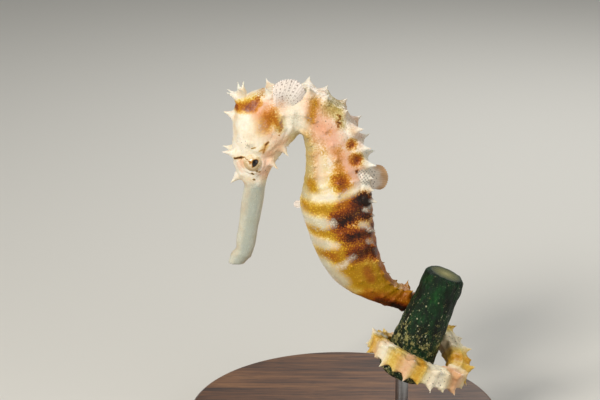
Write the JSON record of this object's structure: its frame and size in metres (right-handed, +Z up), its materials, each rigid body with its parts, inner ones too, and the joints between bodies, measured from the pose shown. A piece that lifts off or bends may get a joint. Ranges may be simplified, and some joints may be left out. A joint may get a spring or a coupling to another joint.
{
  "type": "seahorse model",
  "caption": "Life-size still model of a thorny seahorse, head bowed and tail wound round a cut stem, held by a rod on a round display base.",
  "frame": {"origin": "centre of the display base's underside", "axes": "+Z up; the animal faces -X and its left side faces -Y"},
  "size_m": [0.064, 0.064, 0.0768],
  "materials": {
    "skin": "satin, moist-looking skin in cream, rose and gold-brown bands",
    "eye": "wet gloss",
    "fin": "thin, translucent membrane with rays",
    "stem": "dark green leathery stem with pale specks",
    "stand_wood": "dark oiled walnut",
    "stand_steel": "brushed stainless steel"
  },
  "bodies": {
    "root": {"snout": "skin", "head": "skin", "coronet": "skin", "eye_left": "eye", "eye_right": "eye", "neck": "skin", "trunk_front": "skin", "trunk_rear": "skin", "brood_pouch": "skin", "tail_1": "skin", "tail_2": "skin", "tail_3": "skin", "tail_4": "skin", "tail_5": "skin", "tail_6": "skin", "pectoral_fin_left": "fin", "pectoral_fin_right": "fin", "dorsal_fin": "fin", "anal_fin": "fin", "perch": "stem", "stand_rod": "stand_steel", "stand_base": "stand_wood"}
  },
  "joints": []
}
